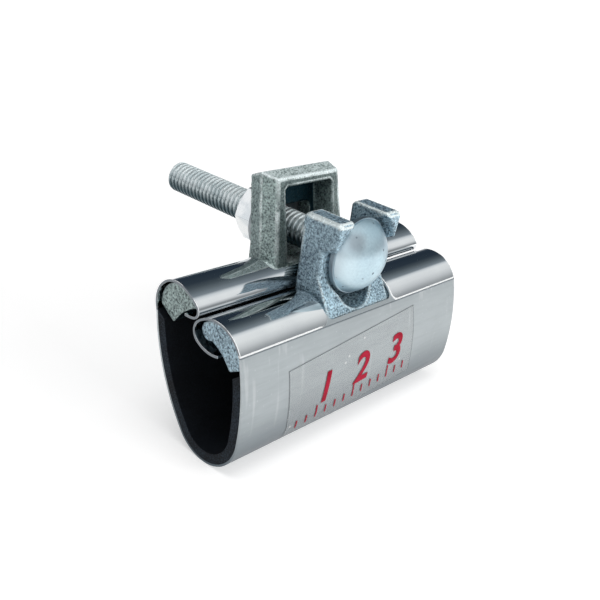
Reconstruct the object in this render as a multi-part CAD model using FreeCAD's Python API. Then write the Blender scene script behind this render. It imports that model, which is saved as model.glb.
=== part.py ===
import FreeCAD, Part
import math
import os
from FreeCAD import Vector

# A wrap-around pipe repair clamp for a 1 inch nominal pipe, in millimetres.
# X runs along the pipe, Z is up, and -Y is the side of the fork and the bolt head.
# The origin is the centre of the wrap's round bottom, half-way along the wrap.

# The wrap: one stainless sheet with a rubber gasket inside it
band_length = 76.2
sheet = 0.5
gasket_thickness = 2.2
bond_gap = 0.05
bottom_radius = 9.95
front_wall_radius = 54.0
rear_wall_radius = 48.0
crease_height = 19.2
crease_overlap = 0.4
front_crease_out = 8.1
rear_crease_out = 18.5
gasket_end_gap = 0.35

# The rolled loop over each lug's shoe: crown, nose and a lip that curls back under
front_crown_radius = 8.5
front_crown_start = 155.2
front_crown_end = 48.0
front_nose_radius = 3.1
front_nose_end = -60.0
front_lip_radius = 8.3
front_lip_end = -106.0
rear_crown_radius = 6.5
rear_crown_start = 199.8
rear_crown_end = 80.0
rear_shoulder_radius = 11.0
rear_shoulder_end = 45.0
rear_nose_radius = 2.0
rear_nose_end = -75.0
rear_lip_radius = 8.0
rear_lip_end = -95.0
window_corner = 1.6
window_gap = 0.9
window_sill = 2.6

# The bolt, its washer and its nut
bolt_over_crease = 12.8
bolt_radius = 3.97
bolt_end = 59.3
bolt_chamfer = 0.9
head_radius = 9.0
head_dome = 5.3
head_rim = 1.5
head_stand_off = 0.5
neck_depth = 2.4
neck_height = 9.6
nut_across_flats = 12.7
nut_thickness = 6.75
nut_chamfer = 0.55
running_clearance = 0.06
washer_radius = 8.75
washer_hole_radius = 4.37
washer_thickness = 1.3
touch_gap = 0.1

# The fork lug, cast with a curved strip that is its shoe
lug_width = 21.4
shoe_inset = 0.8
shoe_gap = 0.4
front_shoe_drop = 3.4
front_wall_tilt = -8.0
shoe_corner_round = 0.7
front_shoe_thickness = 4.2
front_shoe_end = 58.0
front_shoe_toe = (3.6, -5.2)
front_shoe_hollow_depth = 0.7
fork_front_in = 5.35
fork_depth = 6.9
fork_top_over_bolt = 9.6
gusset_height = 8.0
hook_bottom_over_bolt = 1.9
hook_underside_rise = 1.3
hook_underside_reach = 3.5
hook_reach = 4.1
hook_radius = 10.75
fork_slot_half = 5.8
fork_slot_floor = 0.8
fork_edge_round = 0.9
neck_clearance = 0.2

# The tower lug, a leaning hollow tower on a crescent shoe. It is cast in a mould that parts
# behind its front face, so it is widest and tallest there.
tower_lean = 11.5
tower_in = 5.0
tower_base_rise = 4.8
tower_height = 21.4
tower_top_width = 20.3
tower_draft = 4.5
tower_front_in = -4.7
tower_parting_behind_front = 4.1
tower_parting_flare = 1.35
tower_parting_rise = 1.5
tower_back_behind_parting = 3.8
tower_back_flare = 0.85
tower_back_rise = 0.6
tower_edge_round = 0.6
tower_wall = 2.2
tower_bar = 2.2
tower_recess_depth = 6.0
tower_recess_floor = 1.9
recess_round = 0.9
seat_half_width = 9.1
seat_out = 21.0
spot_face_margin = 0.5
seat_bottom_below_bolt = 9.2
seat_top_over_bolt = 8.6
seat_round = 1.2
tower_slot_half = 6.4
tower_slot_over_bolt = 5.4
tower_slot_below_bolt = 5.8
rear_shoe_front_angle = 44.0
rear_shoe_hollow_radius = 14.2
rear_shoe_toe = (5.0, -1.6)
rear_shoe_heel_turn = 10.0

# The clear film label on the front wall
label_width = 44.6
label_height = 18.6
label_top_drop = 4.7
label_shift = -2.4
label_tilt = 5.0
label_film = 0.12
label_gap = 0.02

half_length = band_length / 2
bolt_height = crease_height + bolt_over_crease
full_turn = 360
half_turn = full_turn / 2
quarter_turn = half_turn / 2


def polar(centre, radius, degrees):
    """A point at an angle on a circle in the cross-section."""
    a = math.radians(degrees)
    return (centre[0] + radius * math.cos(a), centre[1] + radius * math.sin(a))


def angle_of(centre, point):
    return math.degrees(math.atan2(point[1] - centre[1], point[0] - centre[0]))


def front_side(point):
    """From the front crease: first number is inwards, second is up."""
    return (point[0] - front_crease_out, point[1] + crease_height)


def rear_side(point):
    """The same from the rear crease, mirrored."""
    return (rear_crease_out - point[0], point[1] + crease_height)


def as_drawn(point):
    return point


def at(point, x):
    return Vector(x, point[0], point[1])


def arc_edge(centre, radius, start, end, side, x):
    places = [side(polar(centre, radius, a)) for a in (start, (start + end) / 2, end)]
    return Part.Arc(*[at(p, x) for p in places]).toShape()


def line_edge(a, b):
    return Part.LineSegment(a, b).toShape()


def edge_ends(edge):
    return edge.valueAt(edge.FirstParameter), edge.valueAt(edge.LastParameter)


def closed_face(edges):
    """Edges in drawing order, joined by straight lines where they leave a gap."""
    chain = []
    for number, edge in enumerate(edges):
        chain.append(edge)
        following = edges[(number + 1) % len(edges)]
        end = edge_ends(edge)[1]
        start = edge_ends(following)[0]
        if end.distanceToPoint(start) > 1e-6:
            chain.append(line_edge(end, start))
    return Part.Face(Part.Wire(chain))


def along_x(face, start, length):
    solid = face.extrude(Vector(length, 0, 0))
    solid.translate(Vector(start, 0, 0))
    return solid


def curved_layer(arcs, outer_depth, inner_depth, side, length):
    """A layer between two depths under a chain of tangent arcs, extruded along X."""
    outer = [arc_edge(c, r - outer_depth, a, b, side, 0) for c, r, a, b in arcs]
    inner = [arc_edge(c, r - inner_depth, b, a, side, 0) for c, r, a, b in reversed(arcs)]
    return along_x(closed_face(outer + inner), -length / 2, length)


def bend_chain(centre, first_radius, first_angle, bends):
    """Tangent arcs that all bend the same way; each bend is a radius and an end angle."""
    arcs = []
    radius = first_radius
    angle = first_angle
    for next_radius, end in bends:
        centre = polar(centre, radius - next_radius, angle)
        arcs.append((centre, next_radius, angle, end))
        radius = next_radius
        angle = end
    return arcs


def wall_centre(crease, radius, toward):
    """Centre of a wall arc through the crease and tangent to the bottom arc."""
    reach = math.hypot(*crease)
    inner = radius - bottom_radius
    along = (radius ** 2 - inner ** 2 + reach ** 2) / (2 * reach)
    across = math.sqrt(radius ** 2 - along ** 2)
    unit = (-crease[0] / reach, -crease[1] / reach)
    foot = (crease[0] + unit[0] * along, crease[1] + unit[1] * along)
    normal = (-unit[1] * toward, unit[0] * toward)
    return (foot[0] + normal[0] * across, foot[1] + normal[1] * across)


def wrap_arcs():
    """The outer face of the wrap from the rear crease, round the bottom, to the front crease."""
    front_crease = front_side((0, 0))
    rear_crease = rear_side((0, 0))
    front_centre = wall_centre(front_crease, front_wall_radius, 1)
    rear_centre = wall_centre(rear_crease, rear_wall_radius, -1)
    front_tangent = angle_of(front_centre, (0, 0)) % full_turn
    rear_tangent = angle_of(rear_centre, (0, 0))
    rear_start = angle_of(rear_centre, rear_crease) + math.degrees(crease_overlap / rear_wall_radius)
    return [
        (rear_centre, rear_wall_radius, rear_start, rear_tangent),
        ((0, 0), bottom_radius, rear_tangent, front_tangent - full_turn),
        (front_centre, front_wall_radius, front_tangent - full_turn,
         angle_of(front_centre, front_crease) % full_turn - full_turn),
    ]


def front_crown_centre():
    return polar((0, 0), -front_crown_radius, front_crown_start)


def rear_crown_centre():
    return polar((0, 0), -rear_crown_radius, rear_crown_start)


def front_loop_arcs():
    bends = [(front_crown_radius, front_crown_end), (front_nose_radius, front_nose_end),
             (front_lip_radius, front_lip_end)]
    return bend_chain(front_crown_centre(), front_crown_radius, front_crown_start, bends)


def rear_loop_arcs():
    bends = [(rear_crown_radius, rear_crown_end), (rear_shoulder_radius, rear_shoulder_end),
             (rear_nose_radius, rear_nose_end), (rear_lip_radius, rear_lip_end)]
    return bend_chain(rear_crown_centre(), rear_crown_radius, rear_crown_start, bends)


def rounded_block(low, high, radius, axis):
    """A box whose edges along one axis are rounded."""
    size = high - low
    block = Part.makeBox(size.x, size.y, size.z, low)
    edges = [e for e in block.Edges if abs(e.tangentAt(e.FirstParameter).dot(axis)) > 0.99]
    return block.makeFillet(radius, edges)


def tower_frame(point):
    """From the tower's own upright frame to the leaning one; first number is to the rear."""
    a = math.radians(tower_lean)
    foot = rear_side((tower_in, tower_base_rise))
    return (foot[0] + point[0] * math.cos(a) + point[1] * math.sin(a),
            foot[1] - point[0] * math.sin(a) + point[1] * math.cos(a))


def tower_base_half_width():
    """Half of the tower's greatest width, at the foot of its parting line."""
    spread = (tower_height + tower_parting_rise) * math.tan(math.radians(tower_draft))
    return tower_top_width / 2 + tower_parting_flare + spread


def band():
    solid = curved_layer(wrap_arcs(), 0, sheet, as_drawn, band_length)
    solid = solid.fuse(curved_layer(front_loop_arcs(), 0, sheet, front_side, band_length))
    solid = solid.fuse(curved_layer(rear_loop_arcs(), 0, sheet, rear_side, band_length))
    front_half = lug_width / 2 + window_gap
    fork_back = fork_front_in + fork_depth + window_gap - front_crease_out
    window_top = crease_height + 4 * front_crown_radius
    front_window = rounded_block(
        Vector(-front_half, window_gap / 2 - front_crease_out, crease_height),
        Vector(front_half, fork_back, window_top), window_corner, Vector(0, 0, 1))
    rear_half = tower_base_half_width() + window_gap
    tower_front = tower_frame((tower_front_in, 0))[0] - window_gap
    rear_window = rounded_block(
        Vector(-rear_half, tower_front, crease_height + window_sill),
        Vector(rear_half, rear_crease_out + rear_crown_radius, window_top),
        window_corner, Vector(0, 0, 1))
    return solid.cut(front_window).cut(rear_window).removeSplitter()


def end_cutter(high, low, side):
    """A block above the sloping line between two points of a shoe's lower end."""
    reach = 3 * rear_crease_out
    slope = (low[1] - high[1]) / (low[0] - high[0])
    near = high[0] - 2 * sheet
    corners = [(near, high[1] - gasket_end_gap + slope * (near - high[0])),
               (reach, high[1] - gasket_end_gap + slope * (reach - high[0])),
               (reach, reach), (near, reach)]
    points = [at(side(c), 0) for c in corners]
    face = Part.Face(Part.makePolygon(points + points[:1]))
    half = along_x(face, -band_length, 2 * band_length)
    keep_side = Part.makeBox(2 * band_length, reach, 2 * reach,
                             Vector(-band_length, -reach if side is front_side else 0, 0))
    return half.common(keep_side)


def gasket():
    outer = sheet + bond_gap
    solid = curved_layer(wrap_arcs(), outer, outer + gasket_thickness, as_drawn, band_length)
    front_cut = end_cutter(front_shoe_heel(), front_shoe_toe, front_side)
    rear_cut = end_cutter(rear_shoe_heel(), rear_shoe_toe, rear_side)
    return solid.cut(front_cut).cut(rear_cut)


def front_shoe_heel():
    return (sheet + shoe_gap + front_shoe_drop * math.sin(math.radians(front_wall_tilt)),
            -front_shoe_drop)


def rear_shoe_heel():
    return polar(rear_crown_centre(), rear_crown_radius - sheet - shoe_gap,
                 rear_crown_start - rear_shoe_heel_turn)


def rounded_shoe(edges):
    """A shoe's outline extruded along the wrap, with its low corners rounded."""
    length = band_length - 2 * shoe_inset
    solid = along_x(closed_face(edges), -length / 2, length)
    low = [e for e in solid.Edges if e.BoundBox.XLength > length / 2
           and e.BoundBox.ZMax < crease_height - shoe_corner_round]
    return solid.makeFillet(shoe_corner_round, low)


def front_shoe():
    """The curved strip inside the front loop, from below the crease to a rounded tip."""
    crown = front_crown_centre()
    outer = front_crown_radius - sheet - shoe_gap
    tip_radius = front_shoe_thickness / 2
    tip = polar(crown, outer - tip_radius, front_shoe_end)
    tip_inner = polar(tip, -tip_radius, front_shoe_end)
    toe = front_shoe_toe
    middle = ((toe[0] + tip_inner[0]) / 2, (toe[1] + tip_inner[1]) / 2)
    across = angle_of(toe, tip_inner) + quarter_turn
    hollow = polar(middle, front_shoe_hollow_depth, across)
    places = [at(front_side(p), 0) for p in (tip_inner, hollow, toe)]
    start = polar(crown, outer, front_crown_start)
    return rounded_shoe([
        line_edge(at(front_side(front_shoe_heel()), 0), at(front_side(start), 0)),
        arc_edge(crown, outer, front_crown_start, front_shoe_end, front_side, 0),
        arc_edge(tip, tip_radius, front_shoe_end, front_shoe_end - half_turn, front_side, 0),
        Part.Arc(*places).toShape(),
    ])


def fork_lug():
    top = bolt_over_crease + fork_top_over_bolt
    hook_bottom = bolt_over_crease + hook_bottom_over_bolt
    front = fork_front_in
    back = front + fork_depth
    crown_top = front_crown_centre()[1] + front_crown_radius
    outline = [
        (window_gap, window_gap / 2), (front, gusset_height), (front, hook_bottom),
        (front - hook_underside_reach, hook_bottom + hook_underside_rise),
        (front - hook_reach, top - fork_edge_round),
        (front - hook_reach + fork_edge_round, top), (back - fork_edge_round, top),
        (back, top - fork_edge_round), (back, crown_top - front_shoe_thickness / 2),
        (front, crown_top - front_shoe_thickness),
    ]
    points = [at(front_side(p), 0) for p in outline]
    face = Part.Face(Part.makePolygon(points + points[:1]))
    block = along_x(face, -lug_width / 2, lug_width)
    corner_edges = [e for e in block.Edges if abs(e.tangentAt(e.FirstParameter).x) < 0.01
                    and e.BoundBox.ZMax > crease_height + gusset_height + 1]
    block = block.makeFillet(fork_edge_round, corner_edges)
    lug = block.fuse(front_shoe())
    seat_y = front - front_crease_out
    run = 3 * fork_depth
    slot_low = crease_height + fork_slot_floor + fork_slot_half
    slot = Part.makeBox(2 * fork_slot_half, 2 * run, run + top,
                        Vector(-fork_slot_half, seat_y - run, slot_low))
    slot_round = Part.makeCylinder(fork_slot_half, 2 * run, Vector(0, seat_y - run, slot_low),
                                   Vector(0, 1, 0))
    mouth = 2 * hook_reach
    pocket_back = head_radius + neck_clearance + touch_gap
    pocket_front = pocket_back + (hook_radius - pocket_back) * mouth / hook_reach
    pocket = Part.makeCone(pocket_front, pocket_back, mouth, Vector(0, seat_y - mouth, bolt_height),
                           Vector(0, 1, 0))
    return lug.cut(slot).cut(slot_round).cut(pocket).removeSplitter()


def bolt():
    """A domed round head on a flat-sided neck, which the fork's slot keeps from turning."""
    seat_y = fork_front_in - front_crease_out
    under = seat_y - touch_gap - head_stand_off
    dome_start = under - head_rim
    apex = dome_start - head_dome
    sphere_radius = (head_radius ** 2 + head_dome ** 2) / (2 * head_dome)
    sphere_y = apex + sphere_radius
    half = math.asin(head_radius / sphere_radius) / 2
    mid = Vector(sphere_radius * math.sin(half), sphere_y - sphere_radius * math.cos(half), 0)
    dome = Part.Arc(Vector(0, apex, 0), mid, Vector(head_radius, dome_start, 0)).toShape()
    shoulder = (head_radius + fork_slot_half) / 2
    side = [
        Vector(head_radius, dome_start, 0), Vector(head_radius, under, 0),
        Vector(shoulder, under, 0), Vector(shoulder, seat_y - touch_gap, 0),
        Vector(bolt_radius, seat_y - touch_gap, 0),
        Vector(bolt_radius, bolt_end - bolt_chamfer, 0),
        Vector(bolt_radius - bolt_chamfer, bolt_end, 0), Vector(0, bolt_end, 0),
    ]
    lines = [line_edge(a, b) for a, b in zip(side, side[1:])]
    lines.append(line_edge(side[-1], Vector(0, apex, 0)))
    profile = Part.Face(Part.Wire([dome] + lines))
    solid = profile.revolve(Vector(0, 0, 0), Vector(0, 1, 0), full_turn)
    neck_half = fork_slot_half - neck_clearance
    neck_round = math.hypot(neck_half, neck_height / 2) - neck_clearance
    neck = Part.makeBox(2 * neck_half, neck_depth, neck_height,
                        Vector(-neck_half, seat_y - touch_gap, -neck_height / 2))
    neck = neck.common(Part.makeCylinder(neck_round, neck_depth, Vector(0, seat_y - touch_gap, 0),
                                         Vector(0, 1, 0)))
    solid = solid.fuse(neck).removeSplitter()
    solid.translate(Vector(0, 0, bolt_height))
    return solid


def washer():
    disc = Part.makeCylinder(washer_radius, washer_thickness, Vector(0, 0, 0), Vector(0, 1, 0))
    hole = Part.makeCylinder(washer_hole_radius, washer_thickness, Vector(0, 0, 0), Vector(0, 1, 0))
    solid = disc.cut(hole)
    solid.translate(Vector(0, seat_out + touch_gap, bolt_height))
    return solid


def nut():
    """A hexagon nut with its corners turned off at both faces and two corners level."""
    corner = nut_across_flats / math.sqrt(3)
    points = [Vector(corner * math.cos(math.radians(60 * n)), 0,
                     corner * math.sin(math.radians(60 * n))) for n in range(7)]
    hexagon = Part.Face(Part.makePolygon(points)).extrude(Vector(0, nut_thickness, 0))
    face_radius = nut_across_flats / 2 - nut_chamfer / 4
    outline = [Vector(0, 0, 0), Vector(face_radius, 0, 0),
               Vector(corner + nut_chamfer, nut_chamfer * 1.7, 0),
               Vector(corner + nut_chamfer, nut_thickness - nut_chamfer * 1.7, 0),
               Vector(face_radius, nut_thickness, 0), Vector(0, nut_thickness, 0)]
    barrel = Part.Face(Part.makePolygon(outline + outline[:1]))
    barrel = barrel.revolve(Vector(0, 0, 0), Vector(0, 1, 0), full_turn)
    hole = Part.makeCylinder(bolt_radius + running_clearance, nut_thickness, Vector(0, 0, 0),
                             Vector(0, 1, 0))
    solid = hexagon.common(barrel).cut(hole)
    solid.translate(Vector(0, seat_out + washer_thickness + 2 * touch_gap, bolt_height))
    return solid


def rear_shoe():
    """The crescent inside the rear loop: the loop's curve above, hollow towards the pipe."""
    crown = rear_crown_centre()
    depth = sheet + shoe_gap
    crown_arc, shoulder_arc = rear_loop_arcs()[:2]
    shoulder_radius = shoulder_arc[1] - depth
    toe = rear_shoe_toe
    tip = polar(shoulder_arc[0], shoulder_radius, rear_shoe_front_angle)
    middle = ((toe[0] + tip[0]) / 2, (toe[1] + tip[1]) / 2)
    span = math.hypot(tip[0] - toe[0], tip[1] - toe[1]) / 2
    rise = rear_shoe_hollow_radius - math.sqrt(rear_shoe_hollow_radius ** 2 - span ** 2)
    hollow = polar(middle, rise, angle_of(toe, tip) + quarter_turn)
    places = [at(rear_side(p), 0) for p in (tip, hollow, toe)]
    return rounded_shoe([
        arc_edge(crown, crown_arc[1] - depth, rear_crown_start - rear_shoe_heel_turn,
                 crown_arc[3], rear_side, 0),
        arc_edge(shoulder_arc[0], shoulder_radius, crown_arc[3], rear_shoe_front_angle,
                 rear_side, 0),
        Part.Arc(*places).toShape(),
    ])


def tower_outline(depth, flare, extra_rise):
    """One upright outline of the tower, at a depth in its own frame: four corners."""
    top = tower_height + extra_rise
    half_top = tower_top_width / 2 + flare
    half_base = half_top + top * math.tan(math.radians(tower_draft))
    corners = [(-half_base, 0), (-half_top, top), (half_top, top), (half_base, 0)]
    points = [at(tower_frame((depth, rise)), width) for width, rise in corners]
    return Part.makePolygon(points + points[:1])


def tower_body():
    """Two tapered halves that meet at the parting line, with soft front and top edges."""
    parting = tower_front_in + tower_parting_behind_front
    front_half = Part.makeLoft([tower_outline(tower_front_in, 0, 0),
                                tower_outline(parting, tower_parting_flare, tower_parting_rise)],
                               True, True)
    back_half = Part.makeLoft([tower_outline(parting, tower_parting_flare, tower_parting_rise),
                               tower_outline(parting + tower_back_behind_parting, tower_back_flare,
                                             tower_back_rise)], True, True)
    body = front_half.fuse(back_half).removeSplitter()
    soft = [e for e in body.Edges if e.BoundBox.ZMax > crease_height + tower_height
            and tower_rear_distance(e) < touch_gap]
    return body.makeFillet(tower_edge_round, soft)


def tower_rear_distance(edge):
    """The distance behind the tower's front face of the farther end of an edge."""
    a = math.radians(tower_lean)
    foot = tower_frame((tower_front_in, 0))
    return max(abs((v.Point.y - foot[0]) * math.cos(a) - (v.Point.z - foot[1]) * math.sin(a))
               for v in edge.Vertexes)


def tower_lug():
    middle_y = tower_frame((0, tower_height / 2))[0]
    seat_low = bolt_height - seat_bottom_below_bolt
    seat_high = bolt_height + seat_top_over_bolt
    seat = rounded_block(Vector(-seat_half_width, middle_y, seat_low),
                         Vector(seat_half_width, seat_out, seat_high), seat_round, Vector(0, 1, 0))
    lug = tower_body().fuse(seat).fuse(rear_shoe())
    spot_face = Part.makeCylinder(washer_radius + spot_face_margin, seat_out,
                                  Vector(0, seat_out, bolt_height), Vector(0, 1, 0))
    half = tower_top_width / 2 - tower_wall
    recess = rounded_block(Vector(-half, 2 * tower_front_in, tower_recess_floor),
                           Vector(half, tower_front_in + tower_recess_depth, tower_height - tower_bar),
                           recess_round, Vector(0, 1, 0))
    recess.rotate(Vector(0, 0, 0), Vector(1, 0, 0), -tower_lean)
    recess.translate(at(tower_frame((0, 0)), 0))
    foot_y = tower_frame((0, 0))[0]
    slot = rounded_block(Vector(-tower_slot_half, foot_y, bolt_height - tower_slot_below_bolt),
                         Vector(tower_slot_half, 2 * seat_out, bolt_height + tower_slot_over_bolt),
                         window_corner, Vector(0, 1, 0))
    return lug.cut(spot_face).cut(recess).cut(slot).removeSplitter()


def label():
    """A thin film on the front wall, set a few degrees out of level as in use."""
    film = curved_layer(wrap_arcs(), -label_gap - label_film, -label_gap, as_drawn, band_length)
    sheet_box = Part.makeBox(label_width, 4 * front_crease_out, label_height,
                             Vector(-label_width / 2, -4 * front_crease_out, -label_height))
    sheet_box.rotate(Vector(0, 0, 0), Vector(0, 1, 0), -label_tilt)
    sheet_box.translate(Vector(label_shift, 0, crease_height - label_top_drop))
    return film.common(sheet_box)


nodes = {
    "band": band,
    "gasket": gasket,
    "label": label,
    "fork_lug": fork_lug,
    "tower_lug": tower_lug,
    "bolt": bolt,
    "washer": washer,
    "nut": nut,
}

os.makedirs("parts", exist_ok=True)
for name, make in nodes.items():
    shape = make()
    if shape.ShapeType == "Compound" and len(shape.Solids) == 1:
        shape = shape.Solids[0]
    box = shape.BoundBox
    print(name, "solids", len(shape.Solids), "valid", shape.isValid(), "volume", round(shape.Volume, 1),
          "x", round(box.XMin, 2), round(box.XMax, 2), "y", round(box.YMin, 2), round(box.YMax, 2),
          "z", round(box.ZMin, 2), round(box.ZMax, 2))
    shape.exportStep("parts/" + name + ".step")
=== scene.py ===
import bmesh
import bpy
import math
from mathutils import Matrix, Vector


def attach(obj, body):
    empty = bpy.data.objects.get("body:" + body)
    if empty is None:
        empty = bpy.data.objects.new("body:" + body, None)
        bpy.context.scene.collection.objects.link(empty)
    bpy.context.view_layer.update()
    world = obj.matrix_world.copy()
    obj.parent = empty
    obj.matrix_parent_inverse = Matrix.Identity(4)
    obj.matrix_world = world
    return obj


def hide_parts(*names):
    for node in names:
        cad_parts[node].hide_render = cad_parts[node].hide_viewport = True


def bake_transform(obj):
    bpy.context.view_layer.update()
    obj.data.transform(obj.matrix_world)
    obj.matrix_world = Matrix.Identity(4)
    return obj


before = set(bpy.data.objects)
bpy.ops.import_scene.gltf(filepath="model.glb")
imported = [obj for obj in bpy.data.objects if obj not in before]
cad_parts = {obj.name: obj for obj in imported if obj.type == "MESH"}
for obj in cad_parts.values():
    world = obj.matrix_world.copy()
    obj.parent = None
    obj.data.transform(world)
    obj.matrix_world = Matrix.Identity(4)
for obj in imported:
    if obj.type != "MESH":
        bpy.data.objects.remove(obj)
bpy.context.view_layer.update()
mm = 0.001


class Sock:
    # one output socket of a node; operators on it add Math nodes to the same tree
    def __init__(self, tree, socket=None):
        self.tree = tree
        self.socket = socket

    def make(self, kind, settings=None, inputs=None, out=0):
        # a node and one of its outputs, or the list of them all where out is None
        node = self.tree.nodes.new(kind)
        for key, value in (settings or {}).items():
            if key == "stops":
                ramp = node.color_ramp.elements
                while len(ramp) < len(value):
                    ramp.new(0.5)
                for stop, (place, colour) in zip(ramp, value):
                    stop.position = place
                    stop.color = (*colour, 1)
            else:
                setattr(node, key, value)
        for key, value in (inputs or {}).items():
            if isinstance(value, Sock):
                self.tree.links.new(value.socket, node.inputs[key])
            else:
                node.inputs[key].default_value = value
        if out is None:
            return [Sock(self.tree, each) for each in node.outputs]
        return Sock(self.tree, node.outputs[out])

    def maths(self, operation, *values):
        return self.make("ShaderNodeMath", {"operation": operation}, dict(enumerate(values)))

    def __add__(self, other):
        return self.maths("ADD", self, other)

    def __sub__(self, other):
        return self.maths("SUBTRACT", self, other)

    def __rsub__(self, other):
        return self.maths("SUBTRACT", other, self)

    def __mul__(self, other):
        return self.maths("MULTIPLY", self, other)

    def __truediv__(self, other):
        return self.maths("DIVIDE", self, other)

    def __rtruediv__(self, other):
        return self.maths("DIVIDE", other, self)

    def __pow__(self, other):
        return self.maths("POWER", self, other)

    def __rpow__(self, other):
        return self.maths("POWER", other, self)

    __radd__ = __add__
    __rmul__ = __mul__

    def size(self):
        return self.maths("ABSOLUTE", self)

    def most(self, other):
        return self.maths("MAXIMUM", self, other)

    def rise(self, low, high):
        # 0 below low, 1 above high, smooth in between
        return self.make("ShaderNodeMapRange", {"interpolation_type": "SMOOTHSTEP"},
                         {0: self, 1: low, 2: high, 3: 0.0, 4: 1.0})

    def colours(self, first, second):
        # self at 0 gives the first colour, at 1 the second
        first, second = [c if isinstance(c, Sock) else (*c, 1) for c in (first, second)]
        return self.make("ShaderNodeMix", {"data_type": "RGBA"}, {0: self, 6: first, 7: second}, out=2)

    def parts(self):
        return self.make("ShaderNodeSeparateXYZ", {}, {0: self}, out=None)

    def noise(self, scale, detail=2.0, rough=0.5, stretch=None):
        place = self
        if stretch:
            place = self.make("ShaderNodeVectorMath", {"operation": "MULTIPLY"}, {0: self, 1: stretch})
        return self.make("ShaderNodeTexNoise", {}, {"Vector": place, "Scale": scale, "Detail": detail,
                                                    "Roughness": rough})

    def cells(self, scale):
        return self.make("ShaderNodeTexVoronoi", {}, {"Vector": self, "Scale": scale})

    def bump(self, distance, strength=1.0):
        return self.make("ShaderNodeBump", {}, {"Height": self, "Distance": distance, "Strength": strength})

    def surface(self, kind):
        # ends the tree in an output node of this kind
        self.make(kind, {}, {"Surface": self}, out=None)


def newFinish(name):
    # a material, the place of each point on its piece, and a way to fill in the shader
    material = bpy.data.materials.new(name)
    material.use_nodes = True
    tree = material.node_tree
    place = Sock(tree).make("ShaderNodeTexCoord", out=3)
    shader = tree.nodes["Principled BSDF"]

    def fill(**values):
        for key, value in values.items():
            socket = shader.inputs[key.replace("_", " ")]
            if isinstance(value, Sock):
                tree.links.new(value.socket, socket)
            elif isinstance(value, tuple):
                socket.default_value = (*value, 1)
            else:
                socket.default_value = value
        return material

    return place, fill


def normalOf(place):
    # the surface's direction as its three parts
    return place.make("ShaderNodeNewGeometry", out=1).parts()


def within(value, limit, soft):
    # 1 where the value is nearer to zero than the limit
    return 1 - value.size().rise(limit, limit + soft)


def fromAxis(x, z):
    # how far a point lies from the axis where both are zero
    return (x * x + z * z) ** 0.5


def polar(centre, radius, degrees):
    # the point at an angle on a circle
    a = math.radians(degrees)
    return (centre[0] + radius * math.cos(a), centre[1] + radius * math.sin(a))


def meshPiece(name, verts, faces, material, smooth=None):
    # a piece from points in millimetres; edges sharper than smooth, in degrees, stay sharp
    data = bpy.data.meshes.new(name)
    data.from_pydata([tuple(c * mm for c in v) for v in verts], [], faces)
    data.materials.append(material)
    piece = bpy.data.objects.new(name, data)
    bpy.context.collection.objects.link(piece)
    tidy = bmesh.new()
    tidy.from_mesh(data)
    bmesh.ops.recalc_face_normals(tidy, faces=tidy.faces)
    tidy.to_mesh(data)
    tidy.free()
    if smooth:
        data.shade_smooth()
        data.set_sharp_from_angle(angle=math.radians(smooth))
    return piece


def applyAll(piece):
    # what the modifiers make becomes the piece's own mesh
    bpy.context.view_layer.update()
    shown = piece.evaluated_get(bpy.context.evaluated_depsgraph_get())
    made = bpy.data.meshes.new_from_object(shown)
    piece.modifiers.clear()
    piece.data = made


# the wrap: a matte U between two creases, and two polished loops
# its cross-section is in millimetres as (y, z); each bend is (radius, angle at its end)

wrap = dict(length=76.2, sheet=0.5, bottom=9.95, frontWall=54.0, rearWall=48.0, creaseHeight=19.2,
            frontOut=8.1, rearOut=18.5, step=2.5, longArc=12, columns=24, smooth=40)
frontLoop = dict(crown=8.5, start=155.2, bends=[(8.5, 48.0), (3.1, -60.0), (8.3, -106.0)])
rearLoop = dict(crown=6.5, start=199.8, bends=[(6.5, 80.0), (11.0, 46.9), (2.0, -75.0), (8.0, -95.0)])
windows = dict(corner=1.6, arc=15, forkHalf=11.6, forkFront=-7.65, forkBack=5.05, forkFloor=19.2,
               towerHalf=14.2, towerFront=7.99, towerBack=25.0, towerFloor=21.8, top=60.0)
halfLength = wrap["length"] / 2
wrapEnd = halfLength * mm
creaseTop = wrap["creaseHeight"] * mm

matteSheet = dict(pale=(0.46, 0.50, 0.515), darkTone=(0.37, 0.405, 0.42), under=(0.10, 0.125, 0.145),
                  scratched=(0.72, 0.74, 0.75), rough=0.38, depth=0.015 * mm,
                  cloudScale=70, grainScale=900, hairScale=520, speckScale=700,
                  grainStretch=(0.12, 1, 1), hairStretch=(1, 1, 0.05),
                  toneRange=(0.3, 0.7), hairRange=(0.62, 0.72), speckRange=(0.86, 0.95),
                  shadeRange=(-10 * mm, 9 * mm), creaseShadowRange=(-0.42 * mm, -0.15 * mm),
                  hairShare=0.25, speckShare=0.35, creaseShadowShare=0.8)
mirrorSheet = dict(pale=(0.76, 0.78, 0.79), darkTone=(0.68, 0.70, 0.72), edge=(0.95, 0.96, 0.96),
                   endFaceShade=(0.05, 0.07, 0.09), strip=(0.62, 0.67, 0.69), rough=0.05, depth=0.10 * mm,
                   cloudScale=60, waveScale=55, speckScale=420, smearScale=300, glintScale=210,
                   waveStretch=(0.35, 1, 1), smearStretch=(0.1, 1, 1),
                   cloudRange=(0.35, 0.65), speckRange=(0.90, 0.97), smearRange=(0.55, 0.75),
                   glintRange=(-0.24 * mm, -0.14 * mm), endRange=(-1.0 * mm, -0.5 * mm),
                   frontRange=(-6.6 * mm, -5.8 * mm), corner=2.0 * mm,
                   line=(0.12 * mm, 0.16 * mm, 0.12 * mm), lineBack=(3.5 * mm, 4.5 * mm),
                   lineLeft=(-0.5 * mm, 0.5 * mm), lineBegin=(1 * mm, 3 * mm),
                   cutRange=(0.6, 0.8), glintArea=(0.3, 0.5), stripSoft=0.1 * mm, endShadeShare=0.8, edgeMetal=0.3)


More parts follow.
